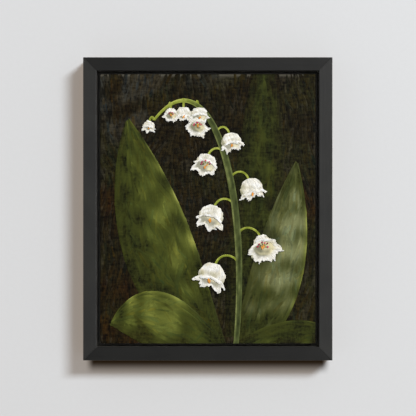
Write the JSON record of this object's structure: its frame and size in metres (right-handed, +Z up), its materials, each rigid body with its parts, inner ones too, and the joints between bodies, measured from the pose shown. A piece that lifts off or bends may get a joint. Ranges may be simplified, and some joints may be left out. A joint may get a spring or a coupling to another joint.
{
  "type": "framed canvas picture",
  "caption": "Small stretched canvas painting in a black floater frame, with an open back, corner keys and a sawtooth hanger for a wall nail.",
  "frame": {"origin": "the hanging point: the middle notch of the sawtooth hanger, on the wall plane that the bumpers rest against", "axes": "+Z up, +Y into the wall, so the picture faces -Y, and +X to a viewer's right"},
  "size_m": [0.235, 0.0325, 0.2858],
  "materials": {
    "frame_black_paint": "satin black paint on hardwood, with fine lengthwise grain showing through",
    "bar_pine": "planed bare pine",
    "key_wood": "sawn bare beech",
    "primed_canvas": "plain-weave cotton canvas, primed white on its front and raw behind",
    "oil_paint": "oil paint in raised brush strokes over a dark umber ground, under a satin varnish",
    "zinc_steel": "bright zinc plating",
    "staple_wire": "galvanised wire",
    "bumper_felt": "dense pressed felt"
  },
  "bodies": {
    "root": {"canvas_cloth": "primed_canvas", "canvas_screw_bottom_1": "zinc_steel", "canvas_screw_bottom_2": "zinc_steel", "canvas_screw_left_1": "zinc_steel", "canvas_screw_left_2": "zinc_steel", "canvas_screw_right_1": "zinc_steel", "canvas_screw_right_2": "zinc_steel", "canvas_screw_top_1": "zinc_steel", "canvas_screw_top_2": "zinc_steel", "canvas_staple_bottom_1": "staple_wire", "canvas_staple_bottom_2": "staple_wire", "canvas_staple_bottom_3": "staple_wire", "canvas_staple_bottom_4": "staple_wire", "canvas_staple_left_1": "staple_wire", "canvas_staple_left_2": "staple_wire", "canvas_staple_left_3": "staple_wire", "canvas_staple_left_4": "staple_wire", "canvas_staple_left_5": "staple_wire", "canvas_staple_right_1": "staple_wire", "canvas_staple_right_2": "staple_wire", "canvas_staple_right_3": "staple_wire", "canvas_staple_right_4": "staple_wire", "canvas_staple_right_5": "staple_wire", "canvas_staple_top_1": "staple_wire", "canvas_staple_top_2": "staple_wire", "canvas_staple_top_3": "staple_wire", "canvas_staple_top_4": "staple_wire", "corner_key_bottom_left_in_bottom_bar": "key_wood", "corner_key_bottom_left_in_left_bar": "key_wood", "corner_key_bottom_right_in_bottom_bar": "key_wood", "corner_key_bottom_right_in_right_bar": "key_wood", "corner_key_top_left_in_left_bar": "key_wood", "corner_key_top_left_in_top_bar": "key_wood", "corner_key_top_right_in_right_bar": "key_wood", "corner_key_top_right_in_top_bar": "key_wood", "corner_nail_bottom_left_inner": "zinc_steel", "corner_nail_bottom_left_outer": "zinc_steel", "corner_nail_bottom_right_inner": "zinc_steel", "corner_nail_bottom_right_outer": "zinc_steel", "corner_nail_top_left_inner": "zinc_steel", "corner_nail_top_left_outer": "zinc_steel", "corner_nail_top_right_inner": "zinc_steel", "corner_nail_top_right_outer": "zinc_steel", "frame_rail_bottom": "frame_black_paint", "frame_rail_left": "frame_black_paint", "frame_rail_right": "frame_black_paint", "frame_rail_top": "frame_black_paint", "hanger_nail_left": "zinc_steel", "hanger_nail_right": "zinc_steel", "paint_film": "oil_paint", "sawtooth_hanger": "zinc_steel", "stretcher_bar_bottom": "bar_pine", "stretcher_bar_left": "bar_pine", "stretcher_bar_right": "bar_pine", "stretcher_bar_top": "bar_pine", "wall_bumper_left": "bumper_felt", "wall_bumper_right": "bumper_felt"}
  },
  "joints": []
}
